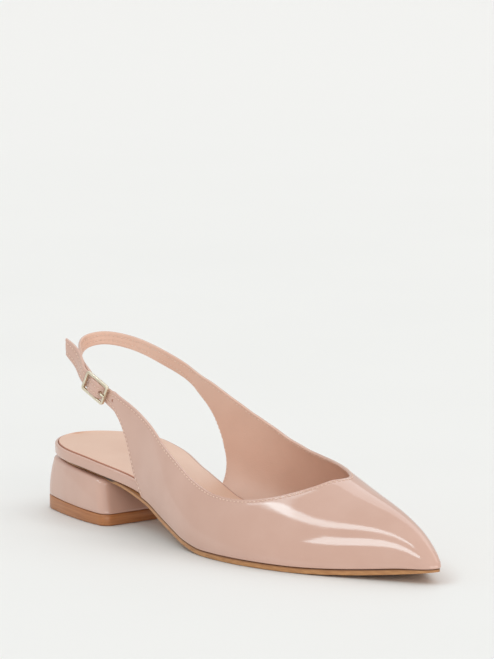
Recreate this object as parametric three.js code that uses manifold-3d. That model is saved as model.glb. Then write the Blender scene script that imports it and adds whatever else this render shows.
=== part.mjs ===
// Slingback pump for the right foot: pointed toe, low covered block heel, buckled heel strap.
// Millimetres. +X runs from heel to toe, +Y to the inner side of the foot, +Z up.
// Every piece hangs on one last: its edge on the sole, its fullness above it and its rise off the floor.
import * as THREE from "three";
import { mergeVertices } from "three/addons/utils/BufferGeometryUtils.js";
import Module from "manifold-3d";

const wasm = await Module();
wasm.setup();

// Driving sizes of the last
const LENGTH = 255; // back of the heel seat to the tip of the toe
const BALL_WIDTH = 74; // across the ball, where the upper meets the sole
const INSTEP = 38; // top of the vamp above the sole's edge, at the throat
const HEEL_HEIGHT = 25; // floor to the sole at the back of the heel
const TOE_SPRING = 5.4; // floor to the sole at the tip
const SWELL_HEIGHT = 18; // how far up the upper swells out over its edge
const HEEL_CURVE = 34; // length over which the seat rounds off at the back

// Materials' thicknesses and clearances
const WALL = 1.3; // upper: patent leather and lining
const OUTSOLE_THICKNESS = 2.3;
const TOE_THINNING = 1.1; // taken off the outsole at the tip of the toe
const SHANK_THICKNESS = 1.5; // outsole, thinned from the waist to the heel
const RIM_HEIGHT = 4.9; // covered insole board where its edge shows, round the heel seat
const BOARD_THICKNESS = 2.2; // the same board inside the upper
const SOCK_THICKNESS = 1.2;
const GAP = 0.3; // between pieces that touch

// Edges of the sole pieces, inwards from the upper's edge on the sole
const SOLE_MARGIN = 0.4;
const SEAT_MARGIN = 3.2; // the outsole draws in over the heel, which leaves a dark groove
const TOE_EASE = 1; // the board is this much shorter at the tip of the toe
const SOCK_MARGIN = 1.4; // inwards from the board's edge
const SOCK_TOE_GAP = 10; // sock's end before the board's tip

// Heel
const HEEL_LENGTH = 61;
const HEEL_WIDTH = 60; // on the floor, at the breast
const HEEL_CORNER = 4.5; // radius between side and breast
const HEEL_SET_IN = 2.2; // top of the heel, inwards from its foot
const BREAST_LEAN = 5; // how far the breast leans back towards the top
const TIP_FRONT = 4.9; // thickness of the replaceable tip under the heel, at the breast
const TIP_BACK = 6.2;

// Strap and buckle
const STRAP_WIDTH = 7;
const SEAT_WIDTH = 53; // width that the strap's loop is set out from
const STRAP_HEIGHT = 75; // floor to the middle of the strap behind the heel
const BUCKLE_STRAP = 6.2; // width of the straps inside the buckle
const TAB_WIDTH = 4.2; // heel strap's end, cut narrower to go round the pin
const BILLET_ARCH = 2.3; // how far the strap's end rises over the pin
const BUCKLE_LENGTH = 15.7;
const BUCKLE_WIRE = 1.3; // width of the frame's bars
const BUCKLE_DEPTH = 1.6;
const PIN_RADIUS = 0.6;
const POST_THICKNESS = 0.7; // of the two posts that carry the pin under the frame
const PRONG_RADIUS = 0.55;
const HOLE_RADIUS = 0.95; // punched holes of the strap
const FLAP_LENGTH = 7; // strap's end, folded back round the pin

// Sections of the last. at: share of LENGTH. outer, inner: half widths of the edge on the sole, share of
// BALL_WIDTH. outerSwell, innerSwell: extra half width above it, share of BALL_WIDTH. cone: top line over the
// edge, share of INSTEP. shoulder: share of the height taken off beside the top line.
const SECTIONS = [
  { at: 0.0, outer: 0.366, inner: 0.392, outerSwell: 0.012, innerSwell: 0.004, cone: 7.4, shoulder: 0 },
  { at: 0.12, outer: 0.369, inner: 0.382, outerSwell: 0.012, innerSwell: 0.006, cone: 5.8, shoulder: 0 },
  { at: 0.23, outer: 0.366, inner: 0.315, outerSwell: 0.016, innerSwell: 0.018, cone: 4.2, shoulder: 0 },
  { at: 0.33, outer: 0.381, inner: 0.236, outerSwell: 0.019, innerSwell: 0.08, cone: 3.0, shoulder: 0.02 },
  { at: 0.42, outer: 0.445, inner: 0.253, outerSwell: 0.023, innerSwell: 0.12, cone: 2.06, shoulder: 0.08 },
  { at: 0.52, outer: 0.519, inner: 0.366, outerSwell: 0.024, innerSwell: 0.076, cone: 1.5, shoulder: 0.18 },
  { at: 0.61, outer: 0.546, inner: 0.457, outerSwell: 0.023, innerSwell: 0.032, cone: 1.23, shoulder: 0.28 },
  { at: 0.7, outer: 0.511, inner: 0.465, outerSwell: 0.021, innerSwell: 0.02, cone: 1.02, shoulder: 0.35 },
  { at: 0.79, outer: 0.414, inner: 0.38, outerSwell: 0.021, innerSwell: 0.018, cone: 0.825, shoulder: 0.37 },
  { at: 0.87, outer: 0.276, inner: 0.268, outerSwell: 0.022, innerSwell: 0.018, cone: 0.642, shoulder: 0.37 },
  { at: 0.93, outer: 0.162, inner: 0.165, outerSwell: 0.02, innerSwell: 0.018, cone: 0.44, shoulder: 0.36 },
  { at: 0.97, outer: 0.092, inner: 0.09, outerSwell: 0.015, innerSwell: 0.015, cone: 0.25, shoulder: 0.35 },
  { at: 1.0, outer: 0, inner: 0, outerSwell: 0, innerSwell: 0, cone: 0, shoulder: 0.34 },
];
const RIDGE_SHIFT = 1.5; // the top line of the vamp lies this far to the inner side

// Underside of the sole from heel to ball. at: share of LENGTH. rise: share of HEEL_HEIGHT.
const UNDERSIDE = [
  { at: 0.0, rise: 1 },
  { at: 0.117, rise: 0.918 },
  { at: 0.215, rise: 0.8 },
  { at: 0.3, rise: 0.655 },
  { at: 0.352, rise: 0.53 },
  { at: 0.4, rise: 0.36 },
  { at: 0.453, rise: 0.2 },
  { at: 0.5, rise: 0.07 },
  { at: 0.56, rise: 0 },
  { at: 1.0, rise: 0 },
];
const FLAT_END = 0.74; // the toe starts to rise here, share of LENGTH
const WAIST_START = 0.3; // thicknesses and margins change over from here
const WAIST_END = 0.42; // to here, shares of LENGTH
const BREAST_START = 0.19; // the outsole comes out from over the heel from here
const BREAST_END = 0.235;
const TIP_START = 0.93; // the tip of the toe, where the sole thins and the board draws in

// Ribs of the upper, from the throat back. A rib's top is on the topline and its foot on the sole's edge or on
// the quarter's rear edge. top, foot: share of LENGTH. topTurn, footTurn: degrees round the last from its top
// line.
const OUTER_RIBS = [
  { top: 0.745, topTurn: 9, foot: 0.972, footTurn: 90 },
  { top: 0.73, topTurn: 22.5, foot: 0.925, footTurn: 90 },
  { top: 0.707, topTurn: 32.3, foot: 0.86, footTurn: 90 },
  { top: 0.678, topTurn: 40.3, foot: 0.78, footTurn: 90 },
  { top: 0.643, topTurn: 47.1, foot: 0.7, footTurn: 90 },
  { top: 0.609, topTurn: 51.7, foot: 0.63, footTurn: 90 },
  { top: 0.569, topTurn: 55.3, foot: 0.57, footTurn: 90 },
  { top: 0.525, topTurn: 58, foot: 0.52, footTurn: 90 },
  { top: 0.48, topTurn: 60.6, foot: 0.47, footTurn: 90 },
  { top: 0.44, topTurn: 63.4, foot: 0.43, footTurn: 90 },
  { top: 0.4, topTurn: 66.5, foot: 0.393, footTurn: 90 },
  { top: 0.364, topTurn: 68.8, foot: 0.36, footTurn: 90 },
  { top: 0.335, topTurn: 70.5, foot: 0.338, footTurn: 90 },
  { top: 0.312, topTurn: 71.6, foot: 0.325, footTurn: 88 },
  { top: 0.292, topTurn: 72.5, foot: 0.308, footTurn: 84.3 },
  { top: 0.274, topTurn: 73.3, foot: 0.289, footTurn: 80.4 },
  { top: 0.26, topTurn: 73.8, foot: 0.269, footTurn: 78.2 },
  { top: 0.249, topTurn: 74.1, foot: 0.254, footTurn: 77.5 },
];
const THROAT = { top: 0.75, topTurn: 0, foot: 1, footTurn: 90 };
const INNER_RIBS = [
  { top: 0.742, topTurn: 7, foot: 0.972, footTurn: 90 },
  { top: 0.718, topTurn: 14.2, foot: 0.925, footTurn: 90 },
  { top: 0.68, topTurn: 21.5, foot: 0.86, footTurn: 90 },
  { top: 0.635, topTurn: 28.5, foot: 0.77, footTurn: 90 },
  { top: 0.585, topTurn: 35, foot: 0.68, footTurn: 90 },
  { top: 0.54, topTurn: 40, foot: 0.6, footTurn: 90 },
  { top: 0.5, topTurn: 45.5, foot: 0.54, footTurn: 90 },
  { top: 0.46, topTurn: 51.5, foot: 0.485, footTurn: 90 },
  { top: 0.42, topTurn: 57.7, foot: 0.44, footTurn: 90 },
  { top: 0.383, topTurn: 63, foot: 0.4, footTurn: 90 },
  { top: 0.345, topTurn: 67, foot: 0.363, footTurn: 90 },
  { top: 0.312, topTurn: 69.3, foot: 0.341, footTurn: 90 },
  { top: 0.287, topTurn: 70.8, foot: 0.331, footTurn: 86.2 },
  { top: 0.266, topTurn: 72.1, foot: 0.319, footTurn: 80.6 },
  { top: 0.247, topTurn: 73.1, foot: 0.3, footTurn: 77.6 },
  { top: 0.229, topTurn: 73.9, foot: 0.27, footTurn: 76.6 },
  { top: 0.212, topTurn: 74.6, foot: 0.237, footTurn: 76.7 },
];

// Middle of the free straps. along: share of LENGTH. side: share of SEAT_WIDTH. up: share of STRAP_HEIGHT.
// lean: degrees that the top edge leans outwards. slant: how far the top edge runs ahead of the middle, share
// of STRAP_WIDTH. width: share of STRAP_WIDTH.
const BUCKLE_MIDDLE = { along: 0.2056, side: -0.519, up: 0.8263 };
const BILLET = [
  { along: 0.0955, side: -0.448, up: 1.022, lean: -6, slant: -0.3, width: 1 },
  { along: 0.116, side: -0.46, up: 0.997, lean: -12, slant: -0.1, width: 1.05 },
  { along: 0.139, side: -0.48, up: 0.949, lean: -8, slant: 0, width: 1.05 },
];
const LOOP = [
  { along: 0.157, side: 0.441, up: 0.907, lean: 2, slant: 0, width: 0.96 },
  { along: 0.105, side: 0.406, up: 0.956, lean: 6, slant: 0, width: 0.9 },
  { along: 0.051, side: 0.332, up: 0.992, lean: 9, slant: 0, width: 0.86 },
  { along: 0.0245, side: 0.212, up: 1.003, lean: 12, slant: 0, width: 0.86 },
  { along: 0.019, side: 0.075, up: 0.993, lean: 13, slant: 0, width: 0.86 },
  { along: 0.033, side: -0.057, up: 0.976, lean: 10, slant: 0, width: 0.86 },
  { along: 0.0586, side: -0.172, up: 0.959, lean: 6, slant: 0, width: 0.86 },
  { along: 0.094, side: -0.297, up: 0.935, lean: 3, slant: 0, width: 0.9 },
  { along: 0.129, side: -0.402, up: 0.905, lean: 0, slant: 0, width: 1 },
];
const STRAP_HOLES = [7.5]; // free holes, in front of the one that the prong uses

// Plan of the heel's sides, from its back to where its front corner starts. at: share of that length. half:
// share of HEEL_WIDTH / 2.
const HEEL_PLAN = [
  { at: 0, half: 0 },
  { at: 0.043, half: 0.48 },
  { at: 0.1, half: 0.635 },
  { at: 0.163, half: 0.71 },
  { at: 0.31, half: 0.795 },
  { at: 0.44, half: 0.86 },
  { at: 0.56, half: 0.907 },
  { at: 0.67, half: 0.945 },
  { at: 0.83, half: 0.985 },
  { at: 1, half: 1 },
];

// Fineness of the meshes
const STATIONS = 64; // from heel to toe
const ACROSS = 2;
const RIB_STEPS = 3; // ribs laid between two rows of a rib table
const STRAP_STEPS = 3;
const RIB_POINTS = 10; // from topline to foot
const RING_POINTS = 44;

// Curve through a table: cubic, with slopes that never overshoot a row. Beyond its ends it stays level.
function through(keys, values) {
  const span = keys.slice(1).map((key, i) => key - keys[i]);
  const slope = span.map((s, i) => (values[i + 1] - values[i]) / s);
  const tangent = keys.map((_, i) => {
    if (i === 0) return slope[0];
    if (i === keys.length - 1) return slope[i - 1];
    if (slope[i - 1] * slope[i] <= 0) return 0;
    const before = 2 * span[i] + span[i - 1];
    const after = span[i] + 2 * span[i - 1];
    return (before + after) / (before / slope[i - 1] + after / slope[i]);
  });
  return (key) => {
    if (key <= keys[0]) return values[0];
    if (key >= keys.at(-1)) return values.at(-1);
    const i = keys.findIndex((k) => k > key) - 1;
    const t = (key - keys[i]) / span[i];
    const near = (1 + 2 * t) * (1 - t) ** 2 * values[i] + t * (1 - t) ** 2 * span[i] * tangent[i];
    const far = t * t * (3 - 2 * t) * values[i + 1] - t * t * (1 - t) * span[i] * tangent[i + 1];
    return near + far;
  };
}

// Smooth curve through a table, for surfaces that mirror light: a natural cubic spline.
function spline(keys, values) {
  const last = keys.length - 1;
  const bend = new Array(last + 1).fill(0);
  const carried = new Array(last + 1).fill(0);
  const slope = (i) => (values[i + 1] - values[i]) / (keys[i + 1] - keys[i]);
  for (let i = 1; i < last; i += 1) {
    const across = keys[i + 1] - keys[i - 1];
    const share = (keys[i] - keys[i - 1]) / across;
    const pivot = share * bend[i - 1] + 2;
    bend[i] = (share - 1) / pivot;
    carried[i] = ((6 * (slope(i) - slope(i - 1))) / across - share * carried[i - 1]) / pivot;
  }
  for (let i = last - 1; i > 0; i -= 1) bend[i] = bend[i] * bend[i + 1] + carried[i];
  return (key) => {
    const i = key >= keys[last] ? last - 1 : Math.max(keys.findIndex((k) => k > key) - 1, 0);
    const width = keys[i + 1] - keys[i];
    const a = (keys[i + 1] - key) / width;
    const b = (key - keys[i]) / width;
    const curve = (((a ** 3 - a) * bend[i] + (b ** 3 - b) * bend[i + 1]) * width ** 2) / 6;
    return a * values[i] + b * values[i + 1] + curve;
  };
}

// The last. reach is the square root of the share of LENGTH left to the tip: near the tip, widths grow in line
// with it.
const reachOf = (at) => Math.sqrt(Math.max(0, 1 - at));
const ROWS_FROM_TIP = [...SECTIONS].reverse();
const byReach = (column, size) =>
  spline(
    ROWS_FROM_TIP.map((row) => reachOf(row.at)),
    ROWS_FROM_TIP.map((row) => row[column] * size),
  );
const EDGE = { outer: byReach("outer", BALL_WIDTH), inner: byReach("inner", BALL_WIDTH) };
const SWELL = { outer: byReach("outerSwell", BALL_WIDTH), inner: byReach("innerSwell", BALL_WIDTH) };
const CONE = byReach("cone", INSTEP);
const SHOULDER = byReach("shoulder", 1);
const rise = through(
  UNDERSIDE.map((row) => row.at * LENGTH),
  UNDERSIDE.map((row) => row.rise * HEEL_HEIGHT),
);

const between = (from, to, x) => THREE.MathUtils.smoothstep(x, from * LENGTH, to * LENGTH);

function soleBottom(x) {
  const toe = Math.max(0, (x / LENGTH - FLAT_END) / (1 - FLAT_END));
  return rise(x) + TOE_SPRING * toe ** 2;
}

function soleThickness(x) {
  const full = THREE.MathUtils.lerp(SHANK_THICKNESS, OUTSOLE_THICKNESS, between(WAIST_START, WAIST_END, x));
  return full - TOE_THINNING * between(TIP_START, 1, x);
}

const soleTop = (x) => soleBottom(x) + soleThickness(x);
const boardBottom = (x) => soleTop(x) + GAP;
const boardTop = (x) =>
  boardBottom(x) + THREE.MathUtils.lerp(RIM_HEIGHT, BOARD_THICKNESS, between(WAIST_START, WAIST_END, x));

// A point of the last's outside, turn radians round from its top line, outer side negative.
function lastPoint(reach, turn) {
  const x = LENGTH * (1 - reach ** 2);
  const sine = Math.sin(turn);
  const height = CONE(reach) * Math.cos(turn) * (1 - SHOULDER(reach) * sine ** 2);
  const halfInner = EDGE.inner(reach) + SWELL.inner(reach);
  const halfOuter = EDGE.outer(reach) + SWELL.outer(reach);
  const half = (halfInner * (1 + sine) + halfOuter * (1 - sine)) / 2;
  const swell = sine < 0 ? SWELL.outer(reach) : SWELL.inner(reach);
  const tuck = swell * Math.max(0, 1 - height / SWELL_HEIGHT) ** 3;
  const ridge = RIDGE_SHIFT * Math.cos(turn) * Math.tanh(3 * reach);
  return new THREE.Vector3(x, ridge + sine * (half - Math.abs(sine) * tuck), boardBottom(x) + height);
}

// Outline of the sole's edge as rows from heel to toe, each with its outer and inner point, drawn in by a
// margin(x).
function outline(margin) {
  const half = (side, x) => {
    const back = Math.min(1, x / HEEL_CURVE);
    return EDGE[side](reachOf(x / LENGTH)) * Math.sqrt(1 - (1 - back) ** 2);
  };
  const edgeAt = (side, q) => {
    const x = (LENGTH * (1 - Math.cos(Math.PI * q))) / 2;
    return new THREE.Vector2(x, half(side, x) * (side === "outer" ? -1 : 1));
  };
  const drawnIn = (side, q) => {
    const point = edgeAt(side, q);
    const step = 1e-3;
    const along = edgeAt(side, Math.min(1, q + step)).sub(edgeAt(side, Math.max(0, q - step))).normalize();
    const sign = side === "outer" ? -1 : 1;
    if (q < step) along.set(0, sign);
    if (q > 1 - step) along.set(0, -sign);
    return point.addScaledVector(new THREE.Vector2(along.y, -along.x), sign * margin(point.x));
  };
  return Array.from({ length: STATIONS + 1 }, (_, i) => {
    const q = i / STATIONS;
    return { outer: drawnIn("outer", q), inner: drawnIn("inner", q) };
  });
}

// Closed geometry between two grids of points of the same size. The first faces out along its own rows and
// columns.
function closedBetween(front, back) {
  const rows = front.length;
  const columns = front[0].length;
  const points = [...front.flat(), ...back.flat()];
  const at = (i, j) => i * columns + j;
  const behind = (i, j) => rows * columns + at(i, j);
  const triangles = [];
  const quad = (a, b, c, d) => triangles.push(a, b, c, a, c, d);
  for (let i = 0; i + 1 < rows; i += 1) {
    for (let j = 0; j + 1 < columns; j += 1) {
      quad(at(i, j), at(i, j + 1), at(i + 1, j + 1), at(i + 1, j));
      quad(behind(i, j), behind(i + 1, j), behind(i + 1, j + 1), behind(i, j + 1));
    }
    quad(at(i, 0), at(i + 1, 0), behind(i + 1, 0), behind(i, 0));
    quad(at(i, columns - 1), behind(i, columns - 1), behind(i + 1, columns - 1), at(i + 1, columns - 1));
  }
  for (let j = 0; j + 1 < columns; j += 1) {
    quad(at(0, j), behind(0, j), behind(0, j + 1), at(0, j + 1));
    quad(at(rows - 1, j), at(rows - 1, j + 1), behind(rows - 1, j + 1), behind(rows - 1, j));
  }
  const geometry = new THREE.BufferGeometry();
  geometry.setAttribute("position", new THREE.Float32BufferAttribute(points.flatMap((p) => p.toArray()), 3));
  geometry.setIndex(triangles);
  return geometry;
}

function solidOf(geometry) {
  const bare = geometry.clone();
  bare.deleteAttribute("normal");
  bare.deleteAttribute("uv");
  const merged = mergeVertices(bare, 1e-3);
  const mesh = new wasm.Mesh({
    numProp: 3,
    vertProperties: merged.attributes.position.array,
    triVerts: new Uint32Array(merged.index.array),
  });
  return new wasm.Manifold(mesh);
}

function geometryOf(solid) {
  const mesh = solid.getMesh();
  const geometry = new THREE.BufferGeometry();
  geometry.setAttribute("position", new THREE.Float32BufferAttribute(mesh.vertProperties, 3));
  geometry.setIndex([...mesh.triVerts]);
  return geometry;
}

// A sheet that follows the last's bottom, between two heights over its outline.
function soleSheet(rows, bottom, top) {
  const grid = (height) =>
    rows.map((row) =>
      Array.from({ length: ACROSS + 1 }, (_, j) => {
        const point = row.outer.clone().lerp(row.inner, j / ACROSS);
        return new THREE.Vector3(point.x, point.y, height(point.x));
      }),
    );
  return closedBetween(grid(bottom), grid(top));
}

const boardMargin = (x) =>
  (WALL + 2 * GAP) * between(BREAST_START, WAIST_START, x) + TOE_EASE * between(TIP_START, 1, x);
const soleMargin = (x) => {
  const behindUpper = between(WAIST_START - 0.06, WAIST_START + 0.04, x);
  const waist = THREE.MathUtils.lerp(WALL + 2 * GAP, SOLE_MARGIN, behindUpper);
  return THREE.MathUtils.lerp(SEAT_MARGIN, waist, between(BREAST_START, BREAST_END, x));
};
const sockMargin = (x) => boardMargin(x) + SOCK_MARGIN;

const outsole = () => soleSheet(outline(soleMargin), soleBottom, soleTop);
const insoleBoard = () => soleSheet(outline(boardMargin), boardBottom, boardTop);

function sock() {
  const end = LENGTH - SOCK_TOE_GAP;
  const rows = outline(sockMargin).filter((row) => row.outer.x < end);
  const tip = new THREE.Vector2(end, 0);
  return soleSheet(
    [...rows, { outer: tip, inner: tip }],
    (x) => boardTop(x) + GAP,
    (x) => boardTop(x) + GAP + SOCK_THICKNESS,
  );
}

// Ribs of the upper on the last. flat places a point of the last on a plane where the toe's tip is an ordinary
// point.
const flat = (at, degrees) => {
  const turn = THREE.MathUtils.degToRad(degrees);
  return [reachOf(at) * Math.cos(turn), reachOf(at) * Math.sin(turn)];
};
const onLast = ([a, b]) => lastPoint(Math.hypot(a, b), Math.atan2(b, a));

function vampRibs() {
  const signed = (rows, sign) =>
    rows.map((row) => [...flat(row.top, sign * row.topTurn), ...flat(row.foot, sign * row.footTurn)]);
  const rows = [...signed(OUTER_RIBS, -1).reverse(), ...signed([THROAT], 1), ...signed(INNER_RIBS, 1)];
  const columns = [0, 1, 2, 3].map((column) =>
    through(
      rows.map((_, i) => i),
      rows.map((row) => row[column]),
    ),
  );
  const count = (rows.length - 1) * RIB_STEPS;
  return Array.from({ length: count + 1 }, (_, i) => {
    const [topA, topB, footA, footB] = columns.map((column) => column(i / RIB_STEPS));
    return Array.from({ length: RIB_POINTS + 1 }, (_, j) => {
      const t = j / RIB_POINTS;
      return onLast([THREE.MathUtils.lerp(topA, footA, t), THREE.MathUtils.lerp(topB, footB, t)]);
    });
  });
}

const ribMiddle = (rib) => rib[0].clone().lerp(rib.at(-1), 0.5);
const straightRib = (top, foot) =>
  Array.from({ length: RIB_POINTS + 1 }, (_, j) => top.clone().lerp(foot, j / RIB_POINTS));
const placed = (row) => new THREE.Vector3(row.along * LENGTH, row.side * SEAT_WIDTH, row.up * STRAP_HEIGHT);

// The buckle's own frame: x forward along the strap, y up across it, z out of the strap's face.
function buckleFrame(root) {
  const middle = placed(BUCKLE_MIDDLE);
  const forward = ribMiddle(root).sub(middle).normalize();
  const up = root[0].clone().sub(root.at(-1));
  up.addScaledVector(forward, -up.dot(forward)).normalize();
  const out = forward.clone().cross(up);
  return new THREE.Matrix4().makeBasis(forward, up, out).setPosition(middle);
}

// A strap's rib, square to the way it runs, its top edge leaning in.
function strapRib(row, before, after) {
  const middle = placed(row);
  const tangent = after.clone().sub(before).normalize();
  const across = new THREE.Vector3(0, 0, 1);
  across.addScaledVector(tangent, -across.dot(tangent)).normalize();
  across.applyAxisAngle(tangent, THREE.MathUtils.degToRad(row.lean));
  const half = across.multiplyScalar((row.width * STRAP_WIDTH) / 2);
  half.addScaledVector(tangent, row.slant * STRAP_WIDTH);
  return straightRib(middle.clone().add(half), middle.clone().sub(half));
}

// Ribs laid smoothly between the knots of a strap, from knot first to knot last.
function fairedRibs(knots, first, last) {
  const edge = (pick) => new THREE.CatmullRomCurve3(knots.map(pick), false, "centripetal");
  const top = edge((rib) => rib[0]);
  const foot = edge((rib) => rib.at(-1));
  const count = (last - first) * STRAP_STEPS;
  return Array.from({ length: count + 1 }, (_, i) => {
    const t = (first + i / STRAP_STEPS) / (knots.length - 1);
    return straightRib(top.getPoint(t), foot.getPoint(t));
  });
}

const STRAIGHT = BUCKLE_LENGTH / 2 + 1; // straps run straight from the buckle's middle to here
const ARCH_END = BUCKLE_LENGTH / 2 - BUCKLE_WIRE - 1;
const pinDepth = WALL + GAP + WALL + GAP + PIN_RADIUS - BILLET_ARCH; // pin's middle under the strap's face

// Rib of a strap at a place in the buckle's frame.
function buckleRib(frame, x, z, width = BUCKLE_STRAP) {
  const at = (y) => new THREE.Vector3(x, y, z).applyMatrix4(frame);
  return straightRib(at(width / 2), at(-width / 2));
}

function billetRibs(frame, root, next) {
  const entry = buckleRib(frame, -STRAIGHT, 0);
  const middles = [...BILLET.map(placed), ribMiddle(entry)];
  const free = BILLET.map((row, i) => strapRib(row, middles[Math.max(0, i - 1)], middles[i + 1]));
  const arch = [
    buckleRib(frame, -ARCH_END, 0),
    buckleRib(frame, 0, BILLET_ARCH),
    buckleRib(frame, ARCH_END, 0),
    buckleRib(frame, STRAIGHT, 0, STRAP_WIDTH),
  ];
  const knots = [...free, entry, ...arch, root, next];
  return fairedRibs(knots, 0, knots.length - 2).slice(0, -1);
}

function loopRibs(frame, previous, root) {
  const under = -WALL - GAP;
  const entry = buckleRib(frame, -STRAIGHT, under);
  const middles = [ribMiddle(root), ...LOOP.map(placed), ribMiddle(entry)];
  const free = LOOP.map((row, i) => strapRib(row, middles[i], middles[i + 2]));
  const tab = [
    buckleRib(frame, -ARCH_END, under, TAB_WIDTH),
    buckleRib(frame, 0, under + BILLET_ARCH, TAB_WIDTH),
  ];
  const knots = [previous, root, ...free, entry, ...tab];
  const bend = PIN_RADIUS + GAP + WALL;
  const steps = 6;
  const fold = Array.from({ length: steps }, (_, i) => {
    const turn = ((i + 1) / steps) * Math.PI;
    return buckleRib(frame, bend * Math.sin(turn), bend * Math.cos(turn) - pinDepth, TAB_WIDTH);
  });
  const flap = buckleRib(frame, -FLAP_LENGTH, -pinDepth - bend, TAB_WIDTH);
  return [...fairedRibs(knots, 1, knots.length - 1).slice(1), ...fold, flap];
}

// The inside of the upper, one wall thickness behind its outside.
function inside(grid) {
  const rows = grid.length;
  const columns = grid[0].length;
  return grid.map((rib, i) =>
    rib.map((point, j) => {
      const along = grid[Math.min(rows - 1, i + 1)][j].clone().sub(grid[Math.max(0, i - 1)][j]);
      const down = rib[Math.min(columns - 1, j + 1)].clone().sub(rib[Math.max(0, j - 1)]);
      const out = down.cross(along).normalize();
      const inner = point.clone().addScaledVector(out, -WALL);
      if (Math.abs(point.z - boardBottom(point.x)) < 1e-6) inner.z = boardBottom(inner.x);
      return inner;
    }),
  );
}

// A round bar along the y axis of the buckle's frame.
const bar = (radius, length, sides = 12) => new THREE.CylinderGeometry(radius, radius, length, sides);

const vamp = vampRibs();
const frame = buckleFrame(vamp[0]);
const prongHole = BUCKLE_LENGTH / 2 - BUCKLE_WIRE - 2.4; // in front of the pin

function upper() {
  const billet = billetRibs(frame, vamp[0], vamp[1]);
  const loop = loopRibs(frame, vamp.at(-2), vamp.at(-1));
  const ribs = [...billet, ...vamp, ...loop];
  let solid = solidOf(closedBetween(ribs, inside(ribs)));
  for (const ahead of [prongHole, ...STRAP_HOLES.map((step) => prongHole + step)]) {
    const punch = bar(HOLE_RADIUS, 3 * WALL, 8).rotateX(Math.PI / 2).translate(ahead, 0, -WALL / 2);
    solid = solid.subtract(solidOf(punch.applyMatrix4(frame)));
  }
  const slot = PIN_RADIUS + GAP + 2 * PRONG_RADIUS + GAP;
  const slotCut = new THREE.BoxGeometry(2.2 * slot, 2 * PRONG_RADIUS + 2 * GAP, 2 * slot);
  slotCut.translate(slot / 10, 0, -pinDepth);
  return geometryOf(solid.subtract(solidOf(slotCut.applyMatrix4(frame))));
}

// Heel block and top piece, as rings from the floor up
const heelHalf = spline(
  HEEL_PLAN.map((row) => Math.sqrt(row.at)),
  HEEL_PLAN.map((row) => row.half),
);

function heelRing(setIn, front) {
  const half = HEEL_WIDTH / 2 - setIn;
  const start = front - HEEL_CORNER;
  const side = Array.from({ length: 31 }, (_, i) => {
    const root = 1 - i / 30;
    return new THREE.Vector2(setIn + (start - setIn) * root ** 2, -half * heelHalf(root));
  });
  const corner = Array.from({ length: 8 }, (_, i) => {
    const turn = ((i / 8) * Math.PI) / 2;
    const across = half - HEEL_CORNER + HEEL_CORNER * Math.sin(turn);
    return new THREE.Vector2(start + HEEL_CORNER * Math.cos(turn), -across);
  });
  const outer = [new THREE.Vector2(front, 0), ...corner, ...side];
  const inner = outer.slice(0, -1).reverse().map((p) => new THREE.Vector2(p.x, -p.y));
  return new THREE.Path([...outer, ...inner]).getSpacedPoints(RING_POINTS).slice(0, -1);
}

// A closed stack of rings, each the same number of points, capped by a fan at both ends.
function stacked(rings) {
  const points = rings.flat();
  const count = rings[0].length;
  const triangles = [];
  const cap = (ring, start, turned) => {
    const hub = points.length;
    const middle = ring.reduce((sum, p) => sum.add(p), new THREE.Vector3()).divideScalar(count);
    points.push(middle);
    for (let i = 0; i < count; i += 1) {
      const next = start + ((i + 1) % count);
      triangles.push(...(turned ? [hub, next, start + i] : [hub, start + i, next]));
    }
  };
  for (let level = 0; level + 1 < rings.length; level += 1) {
    for (let i = 0; i < count; i += 1) {
      const a = level * count + i;
      const b = level * count + ((i + 1) % count);
      triangles.push(a, a + count, b, b, a + count, b + count);
    }
  }
  cap(rings[0], 0, false);
  cap(rings.at(-1), (rings.length - 1) * count, true);
  const geometry = new THREE.BufferGeometry();
  geometry.setAttribute("position", new THREE.Float32BufferAttribute(points.flatMap((p) => p.toArray()), 3));
  geometry.setIndex(triangles);
  return geometry;
}

const tipTop = (x) => THREE.MathUtils.lerp(TIP_BACK, TIP_FRONT, x / HEEL_LENGTH);

function heelBlock() {
  const levels = [0, 0.3, 0.55, 0.75, 0.9, 1];
  return stacked(
    levels.map((level) =>
      heelRing(HEEL_SET_IN * level ** 2, HEEL_LENGTH - BREAST_LEAN * level).map((p) => {
        const top = soleBottom(p.x) - GAP;
        return new THREE.Vector3(p.x, p.y, THREE.MathUtils.lerp(tipTop(p.x) + GAP, top, level));
      }),
    ),
  );
}

const topPiece = () =>
  stacked(
    [() => 0, tipTop].map((z) =>
      heelRing(0, HEEL_LENGTH).map((p) => new THREE.Vector3(p.x, p.y, z(p.x))),
    ),
  );

// Buckle, in its own frame
function roundedRectangle(halfX, halfY, radius, z) {
  const corners = [[1, -1], [-1, -1], [-1, 1], [1, 1]];
  return corners.flatMap(([sideX, sideY], i) =>
    [0, 1 / 3, 2 / 3, 1].map((share) => {
      const turn = -(i + share) * (Math.PI / 2);
      const x = sideX * (halfX - radius) + radius * Math.cos(turn);
      const y = sideY * (halfY - radius) + radius * Math.sin(turn);
      return new THREE.Vector3(x, y, z);
    }),
  );
}

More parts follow.
